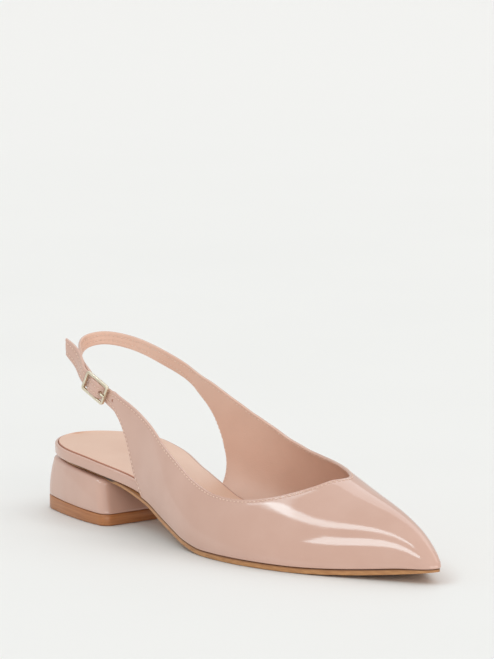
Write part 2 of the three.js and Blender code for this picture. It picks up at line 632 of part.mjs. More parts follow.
function buckle() {
  const inX = BUCKLE_LENGTH / 2 - BUCKLE_WIRE;
  const inY = BUCKLE_STRAP / 2 + GAP + 0.1;
  const rim = (z) => roundedRectangle(inX + BUCKLE_WIRE, inY + BUCKLE_WIRE, 1.2, z);
  const opening = (z) => roundedRectangle(inX, inY, 0.3, z);
  const ends = [GAP, GAP + BUCKLE_DEPTH];
  const hole = solidOf(stacked([ends[0] - 1, ends[1] + 1].map(opening)));
  let solid = solidOf(stacked(ends.map(rim))).subtract(hole);
  const postHeight = GAP + BUCKLE_DEPTH / 2 + pinDepth + PIN_RADIUS;
  const postMiddle = inY + POST_THICKNESS / 2 + 0.1;
  for (const side of [-1, 1]) {
    const post = new THREE.BoxGeometry(2 * PIN_RADIUS, POST_THICKNESS, postHeight);
    post.translate(0, side * postMiddle, GAP + BUCKLE_DEPTH / 2 - postHeight / 2);
    solid = solid.add(solidOf(post));
  }
  const pin = bar(PIN_RADIUS, 2 * postMiddle).translate(0, 0, -pinDepth);
  return geometryOf(solid.add(solidOf(pin))).applyMatrix4(frame);
}

function prong() {
  const rest = GAP + BUCKLE_DEPTH + GAP + PRONG_RADIUS;
  const eye = PIN_RADIUS + GAP + PRONG_RADIUS;
  const path = new THREE.CatmullRomCurve3(
    [
      new THREE.Vector3(eye * 0.9, 0, -pinDepth),
      new THREE.Vector3(prongHole - PRONG_RADIUS / 2, 0, -WALL - GAP / 2),
      new THREE.Vector3(prongHole, 0, GAP),
      new THREE.Vector3(BUCKLE_LENGTH / 2 - BUCKLE_WIRE, 0, rest),
      new THREE.Vector3(BUCKLE_LENGTH / 2 + 0.3, 0, rest),
    ],
    false,
    "centripetal",
  );
  const side = new THREE.Vector3(0, 1, 0);
  const steps = 18;
  const rings = Array.from({ length: steps + 1 }, (_, i) => {
    const up = path.getTangent(i / steps).cross(side);
    return Array.from({ length: 10 }, (_, j) => {
      const turn = -(j / 10) * 2 * Math.PI;
      const point = path.getPoint(i / steps).addScaledVector(side, PRONG_RADIUS * Math.cos(turn));
      return point.addScaledVector(up, PRONG_RADIUS * Math.sin(turn));
    });
  });
  const ring = new THREE.TorusGeometry(eye, PRONG_RADIUS, 8, 16);
  ring.rotateX(Math.PI / 2).translate(0, 0, -pinDepth);
  return geometryOf(solidOf(stacked(rings)).add(solidOf(ring))).applyMatrix4(frame);
}

// Finishes
const finish = (color, roughness, metalness = 0) =>
  new THREE.MeshStandardMaterial({ color, roughness, metalness });
const patent = finish(0xc9a395, 0.12);
const peach = finish(0xdcb49c, 0.55);
const tan = finish(0xa56a3c, 0.45);
const natural = finish(0xb98754, 0.5);
const paleGold = finish(0xcfc3a3, 0.25, 1);

function piece(name, geometry, material) {
  const mesh = new THREE.Mesh(geometry, material);
  mesh.name = name;
  return mesh;
}

const shoe = new THREE.Group();
shoe.add(
  piece("upper", upper(), patent),
  piece("insole_board", insoleBoard(), patent),
  piece("sock", sock(), peach),
  piece("outsole", outsole(), natural),
  piece("heel", heelBlock(), patent),
  piece("top_piece", topPiece(), tan),
  piece("buckle", buckle(), paleGold),
  piece("prong", prong(), paleGold),
);

// The origin is on the floor, under the middle of the shoe
const box = new THREE.Box3().setFromObject(shoe);
const middle = box.getCenter(new THREE.Vector3());
shoe.position.set(-middle.x, -middle.y, -box.min.z);

export default shoe;
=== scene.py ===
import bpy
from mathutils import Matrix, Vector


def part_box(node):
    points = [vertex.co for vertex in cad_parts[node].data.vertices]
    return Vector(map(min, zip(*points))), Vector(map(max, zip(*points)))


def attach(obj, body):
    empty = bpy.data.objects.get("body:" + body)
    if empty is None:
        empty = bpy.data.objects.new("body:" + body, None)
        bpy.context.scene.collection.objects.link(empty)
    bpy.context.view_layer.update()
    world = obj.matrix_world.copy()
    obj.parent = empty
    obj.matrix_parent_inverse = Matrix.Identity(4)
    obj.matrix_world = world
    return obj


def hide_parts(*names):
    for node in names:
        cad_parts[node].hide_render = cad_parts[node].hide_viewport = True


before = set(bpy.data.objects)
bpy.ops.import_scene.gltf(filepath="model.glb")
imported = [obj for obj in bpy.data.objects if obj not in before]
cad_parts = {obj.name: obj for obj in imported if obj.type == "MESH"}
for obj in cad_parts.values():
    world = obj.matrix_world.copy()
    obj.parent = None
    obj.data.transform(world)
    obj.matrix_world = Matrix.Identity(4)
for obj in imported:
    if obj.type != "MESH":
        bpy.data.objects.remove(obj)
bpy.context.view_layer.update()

import math

import bmesh
import bpy
import numpy as np
from mathutils import Matrix, Vector

# The shoe's own sizes in millimetres, measured from the back of its heel seat, on the floor.
LENGTH = 255.0
BALL_WIDTH = 74.0
INSTEP = 38.0
HEEL_HEIGHT = 25.0
TOE_SPRING = 5.4
SWELL_HEIGHT = 18.0
HEEL_CURVE = 34.0
WALL = 1.3
GAP = 0.3
OUTSOLE = 2.3
TOE_THINNING = 1.1
SHANK = 1.5
RIM = 4.9
BOARD = 2.2
SEAT_WIDTH = 53.0
STRAP_WIDTH = 7.0
STRAP_HEIGHT = 75.0
BUCKLE_LENGTH = 15.7
BUCKLE_STRAP = 6.2
TAB_WIDTH = 4.2
ARCH = 2.3
BUCKLE_WIRE = 1.3
BUCKLE_DEPTH = 1.6
PIN = 0.6
PRONG = 0.55
HOLE = 0.95
HEEL_LENGTH = 61.0
HEEL_WIDTH = 60.0
HEEL_CORNER = 4.5
HEEL_SET_IN = 2.2
BREAST_LEAN = 5.0
TIP_FRONT = 4.9
TIP_BACK = 6.2
TOE_START = 0.74
RIDGE = 1.5

# Seams: their stitches' pitch, their distance from the edge, and how wide and deep the thread pulls them in.
# THREAD is half the length, width and height of one stitch, and THREAD_LIFT its height over the seam.
STITCH = 2.1
SEAM = 1.9
SEAM_WIDTH = 0.4
OUTSIDE_PULL = 0.13
LINING_PULL = 0.1
THREAD = (0.7, 0.27, 0.22)
THREAD_LIFT = 0.1

# A UV map's unit, in millimetres, and the distance under which points are one, in metres.
UV_UNIT = 100
WELD = 1e-7

# Where the shoe stands in the frame: its heel tip fixes the back and the middle.
tip_low, tip_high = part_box("top_piece")
PLACE = Vector((tip_low[0] * 1000, (tip_low[1] + tip_high[1]) * 500, 0))


def metres(points):
    return (np.asarray(points, float) + np.array(PLACE)) * 0.001


# Curves through tables
def natural(keys, values):
    """A cubic curve through values at keys, without bend at its ends."""
    keys, values = np.asarray(keys, float), np.asarray(values, float)
    step = np.diff(keys)
    size = len(keys)
    rows, turn = np.eye(size), np.zeros(size)
    for i in range(1, size - 1):
        rows[i, i - 1 : i + 2] = step[i - 1], 2 * (step[i - 1] + step[i]), step[i]
        turn[i] = 6 * ((values[i + 1] - values[i]) / step[i] - (values[i] - values[i - 1]) / step[i - 1])
    bend = np.linalg.solve(rows, turn)

    def at(key):
        key = np.asarray(key, float)
        i = np.clip(np.searchsorted(keys, key, side="right") - 1, 0, size - 2)
        a = (keys[i + 1] - key) / step[i]
        b = 1 - a
        curve = ((a**3 - a) * bend[i] + (b**3 - b) * bend[i + 1]) * step[i] ** 2 / 6
        return a * values[i] + b * values[i + 1] + curve

    return at


def level(keys, values):
    """A curve through values at keys that never runs past them."""
    keys, values = np.asarray(keys, float), np.asarray(values, float)
    step = np.diff(keys)
    slope = np.diff(values) / step
    tangent = np.zeros(len(keys))
    tangent[0], tangent[-1] = slope[0], slope[-1]
    for i in range(1, len(keys) - 1):
        if slope[i - 1] * slope[i] > 0:
            before, after = 2 * step[i] + step[i - 1], step[i] + 2 * step[i - 1]
            tangent[i] = (before + after) / (before / slope[i - 1] + after / slope[i])

    def at(key):
        key = np.clip(np.asarray(key, float), keys[0], keys[-1])
        i = np.clip(np.searchsorted(keys, key, side="right") - 1, 0, len(keys) - 2)
        t = (key - keys[i]) / step[i]
        near = (1 + 2 * t) * (1 - t) ** 2 * values[i] + t * (1 - t) ** 2 * step[i] * tangent[i]
        return near + t * t * (3 - 2 * t) * values[i + 1] - t * t * (1 - t) * step[i] * tangent[i + 1]

    return at


def smooth(low, high, x):
    """A soft step from 0 at low to 1 at high."""
    t = np.clip((np.asarray(x, float) - low) / (high - low), 0, 1)
    return t * t * (3 - 2 * t)


def lengths_along(points):
    return np.concatenate([[0], np.cumsum(np.linalg.norm(np.diff(points, axis=0), axis=1))])


# The last: share of the length, outer and inner half widths, outer and inner swell, top line, shoulder
SECTIONS = np.array([
    (0.00, 0.366, 0.392, 0.012, 0.004, 7.40, 0.00),
    (0.12, 0.369, 0.382, 0.012, 0.006, 5.80, 0.00),
    (0.23, 0.366, 0.315, 0.016, 0.018, 4.20, 0.00),
    (0.33, 0.381, 0.236, 0.019, 0.080, 3.00, 0.02),
    (0.42, 0.445, 0.253, 0.023, 0.120, 2.06, 0.08),
    (0.52, 0.519, 0.366, 0.024, 0.076, 1.50, 0.18),
    (0.61, 0.546, 0.457, 0.023, 0.032, 1.23, 0.28),
    (0.70, 0.511, 0.465, 0.021, 0.020, 1.02, 0.35),
    (0.79, 0.414, 0.380, 0.021, 0.018, 0.825, 0.37),
    (0.87, 0.276, 0.268, 0.022, 0.018, 0.642, 0.37),
    (0.93, 0.162, 0.165, 0.020, 0.018, 0.44, 0.36),
    (0.97, 0.092, 0.090, 0.015, 0.015, 0.25, 0.35),
    (1.00, 0.000, 0.000, 0.000, 0.000, 0.00, 0.34),
])
REACH = np.sqrt(1 - SECTIONS[::-1, 0])
EDGE_OUT, EDGE_IN, SWELL_OUT, SWELL_IN, CONE, SHOULDER = (
    natural(REACH, SECTIONS[::-1, column] * size)
    for column, size in zip(range(1, 7), (BALL_WIDTH,) * 4 + (INSTEP, 1.0))
)
# The sole's underside behind the toe: share of the length, share of the heel's height
UNDERSIDE = np.array([
    (0.0, 1.0), (0.117, 0.918), (0.215, 0.8), (0.3, 0.655), (0.352, 0.53),
    (0.4, 0.36), (0.453, 0.2), (0.5, 0.07), (0.56, 0.0), (1.0, 0.0),
])
rise = level(UNDERSIDE[:, 0] * LENGTH, UNDERSIDE[:, 1] * HEEL_HEIGHT)


def sole_bottom(x):
    toe = np.maximum(0, (np.asarray(x, float) / LENGTH - TOE_START) / (1 - TOE_START))
    return rise(x) + TOE_SPRING * toe**2


def waist(x, thin, thick):
    """A thickness that changes under the arch, from the shank's to the forepart's."""
    return thin + (thick - thin) * smooth(0.3 * LENGTH, 0.42 * LENGTH, x)


def sole_top(x):
    return sole_bottom(x) + waist(x, SHANK, OUTSOLE) - TOE_THINNING * smooth(0.93 * LENGTH, LENGTH, x)


def board_bottom(x):
    return sole_top(x) + GAP


def board_top(x):
    return board_bottom(x) + waist(x, RIM, BOARD)


def last_point(reach, turn):
    """A point of the last: reach is 0 at the toe and 1 at the back, turn is 0 on top and grows sideways."""
    reach, turn = np.broadcast_arrays(np.asarray(reach, float), np.asarray(turn, float))
    x = LENGTH * (1 - reach**2)
    sine = np.sin(turn)
    height = CONE(reach) * np.cos(turn) * (1 - SHOULDER(reach) * sine**2)
    inner, outer = EDGE_IN(reach) + SWELL_IN(reach), EDGE_OUT(reach) + SWELL_OUT(reach)
    half = (inner * (1 + sine) + outer * (1 - sine)) / 2
    swell = np.where(sine < 0, SWELL_OUT(reach), SWELL_IN(reach))
    tuck = swell * np.maximum(0, 1 - height / SWELL_HEIGHT) ** 3
    ridge = RIDGE * np.cos(turn) * np.tanh(3 * reach)
    return np.stack([x, ridge + sine * (half - np.abs(sine) * tuck), board_bottom(x) + height], -1)


# Ribs of the upper: share of the length and turn at the top, then at the foot
OUTER_RIBS = [
    (0.745, 9, 0.972, 90), (0.73, 22.5, 0.925, 90), (0.707, 32.3, 0.86, 90), (0.678, 40.3, 0.78, 90),
    (0.643, 47.1, 0.7, 90), (0.609, 51.7, 0.63, 90), (0.569, 55.3, 0.57, 90), (0.525, 58, 0.52, 90),
    (0.48, 60.6, 0.47, 90), (0.44, 63.4, 0.43, 90), (0.4, 66.5, 0.393, 90), (0.364, 68.8, 0.36, 90),
    (0.335, 70.5, 0.338, 90), (0.312, 71.6, 0.325, 88), (0.292, 72.5, 0.308, 84.3),
    (0.274, 73.3, 0.289, 80.4), (0.26, 73.8, 0.269, 78.2), (0.249, 74.1, 0.254, 77.5),
]
INNER_RIBS = [
    (0.742, 7, 0.972, 90), (0.718, 14.2, 0.925, 90), (0.68, 21.5, 0.86, 90), (0.635, 28.5, 0.77, 90),
    (0.585, 35, 0.68, 90), (0.54, 40, 0.6, 90), (0.5, 45.5, 0.54, 90), (0.46, 51.5, 0.485, 90),
    (0.42, 57.7, 0.44, 90), (0.383, 63, 0.4, 90), (0.345, 67, 0.363, 90), (0.312, 69.3, 0.341, 90),
    (0.287, 70.8, 0.331, 86.2), (0.266, 72.1, 0.319, 80.6), (0.247, 73.1, 0.3, 77.6),
    (0.229, 73.9, 0.27, 76.6), (0.212, 74.6, 0.237, 76.7),
]
OUTER_SOLE_ROW = 12
INNER_SOLE_ROW = 11
# Free straps: share of the length, of the seat's width and of the strap's height, lean, slant, width
BUCKLE_MIDDLE = (0.2056, -0.519, 0.8263)
BILLET = [
    (0.0955, -0.448, 1.022, -6, -0.3, 1), (0.116, -0.46, 0.997, -12, -0.1, 1.05),
    (0.139, -0.48, 0.949, -8, 0, 1.05),
]
LOOP = [
    (0.157, 0.441, 0.907, 2, 0, 0.96), (0.105, 0.406, 0.956, 6, 0, 0.9), (0.051, 0.332, 0.992, 9, 0, 0.86),
    (0.0245, 0.212, 1.003, 12, 0, 0.86), (0.019, 0.075, 0.993, 13, 0, 0.86),
    (0.033, -0.057, 0.976, 10, 0, 0.86), (0.0586, -0.172, 0.959, 6, 0, 0.86),
    (0.094, -0.297, 0.935, 3, 0, 0.9), (0.129, -0.402, 0.905, 0, 0, 1),
]
STRAP_HOLES = (7.5,)


def on_plane(rows, side):
    """Rib ends as points of the last laid flat: reach is the distance from the toe, turn the angle."""
    rows = np.array(rows, float)
    top, foot = np.sqrt(1 - rows[:, 0]), np.sqrt(1 - rows[:, 2])
    up, down = np.radians(rows[:, 1]), np.radians(rows[:, 3])
    top_end = [top * np.cos(up), side * top * np.sin(up)]
    foot_end = [foot * np.cos(down), side * foot * np.sin(down)]
    return np.stack(top_end + foot_end, 1)


PLANE = np.concatenate([
    on_plane(OUTER_RIBS, -1)[::-1],
    [[math.sqrt(1 - 0.75), 0, 0, 0]],
    on_plane(INNER_RIBS, 1),
])
COUNT = len(PLANE)
plane_at = [level(np.arange(COUNT), PLANE[:, column]) for column in range(4)]


def vamp_rib(index, share):
    """Points down one rib of the vamp or a quarter, for shares from its top to its foot."""
    top_a, top_b, foot_a, foot_b = (column(index) for column in plane_at)
    a, b = top_a + (foot_a - top_a) * share, top_b + (foot_b - top_b) * share
    return last_point(np.hypot(a, b), np.arctan2(b, a))


def unit(vector):
    vector = np.asarray(vector, float)
    return vector / np.linalg.norm(vector, axis=-1, keepdims=True)


def placed(row):
    return np.array([row[0] * LENGTH, row[1] * SEAT_WIDTH, row[2] * STRAP_HEIGHT])


root_top, root_foot = vamp_rib(0.0, 0.0), vamp_rib(0.0, 1.0)
buckle_middle = placed(BUCKLE_MIDDLE)
forward = unit((root_top + root_foot) / 2 - buckle_middle)
upward = root_top - root_foot
upward = unit(upward - forward * upward.dot(forward))
outward = np.cross(forward, upward)


def at_buckle(x, y, z):
    return buckle_middle + x * forward + y * upward + z * outward


def buckle_edges(x, z, wide=BUCKLE_STRAP):
    return at_buckle(x, wide / 2, z), at_buckle(x, -wide / 2, z)


def strap_edges(row, before, after):
    tangent = unit(after - before)
    across = np.array([0, 0, 1.0])
    across = unit(across - tangent * across.dot(tangent))
    lean = math.radians(row[3])
    across = across * math.cos(lean) + np.cross(tangent, across) * math.sin(lean)
    half = across * row[5] * STRAP_WIDTH / 2 + tangent * row[4] * STRAP_WIDTH
    return placed(row) + half, placed(row) - half


def faired(knots, first, last, count):
    """Top and foot edges of a strap, laid smoothly through its knots."""
    knots = np.array(knots)
    middle = knots.mean(1)
    along = lengths_along(middle)
    t = np.linspace(along[first], along[last], count)
    return np.stack([
        np.stack([natural(along, knots[:, edge, axis])(t) for axis in range(3)], 1) for edge in (0, 1)
    ], 1)


pin_depth = 2 * (WALL + GAP) + PIN - ARCH
straight = BUCKLE_LENGTH / 2 + 1
arch_end = BUCKLE_LENGTH / 2 - BUCKLE_WIRE - 1


def quarter_edges(index):
    return vamp_rib(index, 0.0), vamp_rib(index, 1.0)


# How the strap's end bulges over the bar: place along the buckle, share of the arch, extra width
BULGE = [
    (-straight, 0, 0.8), (-6.3, 0, 1.4), (-5.2, 0.33, 0.7), (-3.6, 0.86, 0.5), (0, 1.15, 0.5),
    (3.6, 0.86, 0.5), (6.3, 0, 0.6), (straight, 0, 1),
]


def billet_edges():
    middles = [placed(row) for row in BILLET] + [at_buckle(-straight, 0, 0)]
    knots = [strap_edges(row, middles[max(0, i - 1)], middles[i + 1]) for i, row in enumerate(BILLET)]
    knots += [buckle_edges(x, ARCH * high, BUCKLE_STRAP + wider) for x, high, wider in BULGE]
    knots += [quarter_edges(0), quarter_edges(0.6), quarter_edges(1.2)]
    return faired(knots, 0, len(knots) - 3, 90)


def loop_edges():
    under = -WALL - GAP
    root = sum(quarter_edges(COUNT - 1)) / 2
    middles = [root] + [placed(row) for row in LOOP] + [at_buckle(-straight, 0, under)]
    knots = [quarter_edges(COUNT - 2.2), quarter_edges(COUNT - 1.6), quarter_edges(COUNT - 1)]
    knots += [strap_edges(row, middles[i], middles[i + 2]) for i, row in enumerate(LOOP)]
    knots += [buckle_edges(-straight, under), buckle_edges(-arch_end, under, TAB_WIDTH)]
    knots += [buckle_edges(0, under + ARCH, TAB_WIDTH)]
    return faired(knots, 2, len(knots) - 1, 170)


def fold_edges():
    bend = PIN + GAP + WALL
    turns = np.linspace(0, math.pi, 16)[1:]
    around = [
        buckle_edges(bend * math.sin(turn), bend * math.cos(turn) - pin_depth, TAB_WIDTH) for turn in turns
    ]
    flap = [buckle_edges(-x, -pin_depth - bend, TAB_WIDTH) for x in (2.5, 5, 7)]
    return np.array(around + flap)


# The upper as rings: down its outside, round its foot and up its lining
EDGE_STEPS = [0.65, 1.0, 1.35, 1.6, 1.9, 2.2, 2.45, 2.7]
SEAM_COLUMN = EDGE_STEPS.index(SEAM)
MIDDLE_STEPS = 18
ROUND_STEPS = 5
VAMP_STEPS = 9


def spread(width):
    near = np.array(EDGE_STEPS)
    far = width - near[::-1]
    return np.concatenate([near, np.linspace(near[-1], far[0], MIDDLE_STEPS + 2)[1:-1], far])


def rib_points(curve):
    fine = np.linspace(0, 1, 160)
    points = curve(fine)
    length = lengths_along(points)
    steps = spread(length[-1])
    return curve(np.interp(steps, length, fine)), steps, length[-1]


def straight_rib(top, foot):
    return rib_points(lambda share: top + (foot - top) * share[:, None])


def on_sole(index):
    low = len(OUTER_RIBS) - OUTER_SOLE_ROW - 1
    high = len(OUTER_RIBS) + 1 + INNER_SOLE_ROW
    return low <= index <= high


def upper_ribs():
    ribs = [(*straight_rib(top, foot), False) for top, foot in billet_edges()[:-1]]
    for index in np.arange(0, COUNT - 1 + 1e-6, 1 / VAMP_STEPS):
        ribs.append((*rib_points(lambda share, index=index: vamp_rib(index, share)), on_sole(index)))
    ribs += [(*straight_rib(top, foot), False) for top, foot in loop_edges()[1:]]
    ribs += [(*straight_rib(top, foot), False) for top, foot in fold_edges()]
    return ribs


ribs = upper_ribs()
face = np.array([rib[0] for rib in ribs])
depth = np.array([rib[1] for rib in ribs])
width = np.array([rib[2] for rib in ribs])
sole_rib = np.array([rib[3] for rib in ribs])
along = np.gradient(face, axis=0)
down = np.gradient(face, axis=1)
out = unit(np.cross(down, along))
top_length = lengths_along(face[:, SEAM_COLUMN])
foot_length = lengths_along(face[:, -1 - SEAM_COLUMN])
loop_start = len(ribs) - len(fold_edges())


def trough(distance):
    """How far a seam is pulled in, as a share, at a distance from the edge."""
    return np.exp(-(((distance - SEAM) / SEAM_WIDTH) ** 2))


sunk = trough(depth) + np.where(sole_rib[:, None], 0, trough(width[:, None] - depth))
outer = face - out * sunk[..., None] * OUTSIDE_PULL
lining = face - out * (WALL - sunk[..., None] * LINING_PULL)


def rounded(side):
    """The edge's half round from the outside to the lining, on the top or the foot of every rib."""
    first = 0 if side == "top" else -1
    beyond = unit(down[:, first]) * (-1 if side == "top" else 1)
    centre = face[:, first] - out[:, first] * WALL / 2
    turns = np.linspace(0, math.pi, ROUND_STEPS + 2)[1:-1]
    return np.stack([
        centre + WALL / 2 * (math.cos(turn) * out[:, first] + math.sin(turn) * beyond) for turn in turns
    ], 1)


rings = np.concatenate([outer, rounded("foot"), lining[:, ::-1], rounded("top")[:, ::-1]], 1)
POINTS_DOWN = outer.shape[1]


def new_piece(name, mesh, slot, *materials, stands_for=()):
    piece = bpy.data.objects.new(name, mesh)
    bpy.context.scene.collection.objects.link(piece)
    for material in materials:
        mesh.materials.append(material)
    if stands_for:
        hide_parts(*stands_for)
    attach(piece, "root")
    return piece


def finish_mesh(mesh, name):
    """Welds a bmesh, turns its faces outwards, smooths them and hands them over as a mesh."""
    bmesh.ops.remove_doubles(mesh, verts=mesh.verts, dist=WELD)
    bmesh.ops.dissolve_degenerate(mesh, edges=mesh.edges, dist=WELD)
    bmesh.ops.recalc_face_normals(mesh, faces=mesh.faces)
    for one in mesh.faces:
        one.smooth = True
    data = bpy.data.meshes.new(name)
    mesh.to_mesh(data)
    mesh.free()
    return data


def joined(values):
    """Rows that end where they start."""
    return np.concatenate([values, values[:, :1]], 1)


def grid_mesh(name, points, maps=(), closed=True, caps=False, slots=None):
    """A smooth sheet through rows of points in millimetres, with UV maps given as (name, u, v) arrays."""
    rows, columns = points.shape[:2]
    if closed:
        points = joined(points)
        maps = [(label, joined(u), joined(v)) for label, u, v in maps]
        columns += 1
    mesh = bmesh.new()
    bmesh.ops.create_grid(mesh, x_segments=columns - 1, y_segments=rows - 1, size=0.5)
    mesh.verts.ensure_lookup_table()
    places = metres(points).reshape(-1, 3)
    for vertex, place in zip(mesh.verts, places):
        vertex.co = place
    for label, u, v in maps:
        layer = mesh.loops.layers.uv.new(label)
        flat_u, flat_v = u.reshape(-1), v.reshape(-1)
        for one in mesh.faces:
            for loop in one.loops:
                loop[layer].uv = flat_u[loop.vert.index], flat_v[loop.vert.index]
    if slots is not None:
        for one in mesh.faces:
            column = min(vertex.index % columns for vertex in one.verts)
            one.material_index = slots(column)
    if caps:
        bmesh.ops.remove_doubles(mesh, verts=mesh.verts, dist=WELD)
        rims = [edge for edge in mesh.edges if edge.is_boundary]
        bmesh.ops.holes_fill(mesh, edges=rims, sides=0)
    return finish_mesh(mesh, name)


# Shader maths
class Amount:
    """A shader value. Sums and products with it add Math nodes."""

    def __init__(self, finish, socket):
        self.finish, self.socket = finish, socket

    def math(self, operation, *others):
        return self.finish.add("ShaderNodeMath", {"operation": operation}, dict(enumerate([self, *others])))

    def __add__(self, other):
        return self.math("ADD", other)

    def __sub__(self, other):
        return self.math("SUBTRACT", other)

    def __mul__(self, other):
        return self.math("MULTIPLY", other)

    def __rsub__(self, other):
        return (self * -1).math("ADD", other)

    def __abs__(self):
        return self.math("ABSOLUTE")

    __radd__, __rmul__ = __add__, __mul__

    def within(self, low, high):
        """A soft step from 0 at low to 1 at high."""
        values = {"Value": self, "From Min": low, "From Max": high}
        return self.finish.add("ShaderNodeMapRange", {"interpolation_type": "SMOOTHSTEP"}, values)


class Finish:
    """A material built from one shader."""

    def __init__(self, name):
        self.material = bpy.data.materials.new(name)
        self.material.use_nodes = True
        self.tree = self.material.node_tree
        self.tree.nodes.clear()

    def add(self, kind, settings=None, values=None, output=0):
        """A node of one kind: its settings come first, then the values or links of its sockets."""
        node = self.tree.nodes.new(kind)
        for key, value in (settings or {}).items():
            setattr(node, key, value)
        for key, value in (values or {}).items():
            socket = node.inputs[key]
            if isinstance(value, Amount):
                self.tree.links.new(value.socket, socket)
            elif isinstance(value, tuple) and socket.type == "RGBA":
                socket.default_value = (*value, 1) if len(value) == 3 else value
            else:
                socket.default_value = value
        return Amount(self, node.outputs[output]) if node.outputs else None

    def place(self):
        return self.add("ShaderNodeTexCoord", output="Object")

    def part(self, vector, axis):
        return self.add("ShaderNodeSeparateXYZ", values={"Vector": vector}, output=axis)

    def along(self):
        """Distance from the shoe's middle towards the toe, in metres."""
        return self.part(self.place(), 0)

    def noise(self, scale, detail, stretch=(1, 1, 1)):
        spot = self.add("ShaderNodeMapping", values={"Vector": self.place(), "Scale": stretch})
        return self.add("ShaderNodeTexNoise", values={"Vector": spot, "Scale": scale, "Detail": detail})

    def grain(self, scale):
        return self.add("ShaderNodeTexVoronoi", values={"Vector": self.place(), "Scale": scale})

    def uv(self, label):
        spot = self.add("ShaderNodeUVMap", {"uv_map": label})
        return self.part(spot, 0), self.part(spot, 1)

    def mix(self, share, first, second):
        """Two colours mixed. A Mix node's colour sockets are its inputs 6 and 7 and its output 2."""
        values = {"Factor": share, 6: first, 7: second}
        return self.add("ShaderNodeMix", {"data_type": "RGBA"}, values, output=2)

    def bump(self, height, distance):
        return self.add("ShaderNodeBump", values={"Height": height, "Distance": distance, "Strength": 1.0})

    def done(self, **values):
        named = {key.replace("_", " "): value for key, value in values.items()}
        shader = self.add("ShaderNodeBsdfPrincipled", values=named)
        self.add("ShaderNodeOutputMaterial", values={"Surface": shader})
        return self.material


def srgb(*channels):
    """A linear colour from screen values of 0 to 255."""
    shares = [channel / 255 for channel in channels]
    return tuple(c / 12.92 if c <= 0.04045 else ((c + 0.055) / 1.055) ** 2.4 for c in shares)


NUDE = srgb(209, 173, 158)
NUDE_DEEP = srgb(203, 165, 149)


def needle_holes(finish):
    """Needle holes along both seams, one under the middle of each stitch: the mask for their painted shade
    and their dent.
    """
    marks = 0
    for label in ("top_seam", "foot_seam"):
        run, away = finish.uv(label)
        pitch = (run * (UV_UNIT / STITCH)).math("FRACT")
        beside = abs(pitch - 0.5).within(0.36, 0.47)
        across = 1 - abs(away * UV_UNIT - SEAM).within(0.15, 0.4)
        marks = (beside * across).math("MAXIMUM", marks)
    return marks


def patent(name, sewn=False):
    finish = Finish(name)
    cloud = finish.noise(35, detail=3)
    colour = finish.mix(cloud.within(0.3, 0.7), NUDE, NUDE_DEEP)
    peel = finish.noise(900, detail=1) * 0.012 + finish.noise(160, detail=1) * 0.09
    peel = peel + finish.noise(38, detail=1) * 0.35
    if sewn:
        # Painted shade darkens the needle holes, and the bump sinks them.
        marks = needle_holes(finish)
        colour = finish.mix(marks * 0.85, colour, srgb(104, 66, 50))
        peel = peel - marks * 0.6
    normal = finish.bump(peel, 0.0002)
    rough = finish.noise(60, detail=2) * 0.05 + 0.05
    return finish.done(Base_Color=colour, Roughness=rough, IOR=1.54, Specular_IOR_Level=0.65, Normal=normal)


def lining_leather():
    finish = Finish("lining")
    cloud = finish.noise(28, detail=4)
    colour = finish.mix(cloud.within(0.3, 0.7), srgb(225, 189, 170), srgb(217, 179, 159))
    height = finish.grain(1500) * -0.35 + finish.noise(420, detail=3) * 0.5
    # Painted shade darkens the needle holes, and the bump sinks them.
    marks = needle_holes(finish)
    colour = finish.mix(marks * 0.7, colour, srgb(120, 80, 62))
    height = height - marks * 1.5
    normal = finish.bump(height, 0.0001)
    rough = cloud * 0.12 + 0.42
    return finish.done(Base_Color=colour, Roughness=rough, Normal=normal)


def sock_leather():
    finish = Finish("sock_leather")
    cloud = finish.noise(20, detail=4)
    colour = finish.mix(cloud.within(0.3, 0.7), srgb(226, 192, 171), srgb(219, 182, 160))
    # Painted shade: the sock's rounded edge and side are darkened, for the groove between the sock and the
    # rim.
    _, edge = finish.uv("edge")
    side = 1 - edge.within(1.0, 1.1)
    colour = finish.mix(side * 0.75, colour, srgb(168, 98, 70))
    height = finish.grain(1300) * -0.3 + finish.noise(350, detail=3) * 0.4
    return finish.done(Base_Color=colour, Roughness=cloud * 0.1 + 0.36, Normal=finish.bump(height, 0.00008))


def sole_leather():
    finish = Finish("sole_leather")
    _, height = finish.uv("edge")
    fibre = finish.noise(220, detail=4, stretch=(1, 1, 6))
    grain = finish.noise(700, detail=3)
    colour = finish.mix(fibre.within(0.3, 0.7), srgb(190, 140, 92), srgb(168, 118, 74))
    line = height.within(0.7, 0.95) * (1 - height.within(1.05, 1.3))
    colour = finish.mix(line * 0.8, colour, srgb(126, 82, 52))
    # Painted shade: the outsole's edge over the heel is darkened almost to black, for the gap under the rim.
    breast = metres((HEEL_LENGTH, 0, 0))[0]
    heel_gap_shade = 1 - finish.along().within(breast - 0.0025, breast + 0.0035)
    colour = finish.mix(heel_gap_shade * height.within(0.05, 0.3) * 0.94, colour, srgb(30, 18, 14))
    rough = grain * 0.15 + 0.32
    normal = finish.bump(fibre * 0.4 + grain * 0.4, 0.00012)
    return finish.done(Base_Color=colour, Roughness=rough, Normal=normal)


def tip_rubber():
    finish = Finish("tip_rubber")
    layers = finish.noise(260, detail=3, stretch=(0.2, 0.2, 6))
    grain = finish.noise(900, detail=2)
    colour = finish.mix(layers.within(0.25, 0.75), srgb(184, 124, 78), srgb(164, 104, 62))
    normal = finish.bump(layers * 0.5 + grain * 0.3, 0.00008)
    return finish.done(Base_Color=colour, Roughness=grain * 0.12 + 0.3, Normal=normal)


def gold():
    finish = Finish("pale_gold")
    brushed = finish.noise(1200, detail=3)
    worn = finish.noise(150, detail=3)
    colour = finish.mix(worn.within(0.35, 0.75), srgb(233, 224, 204), srgb(216, 205, 180))
    normal = finish.bump(brushed, 0.00002)
    return finish.done(Base_Color=colour, Metallic=1.0, Roughness=worn * 0.16 + 0.2, Normal=normal)


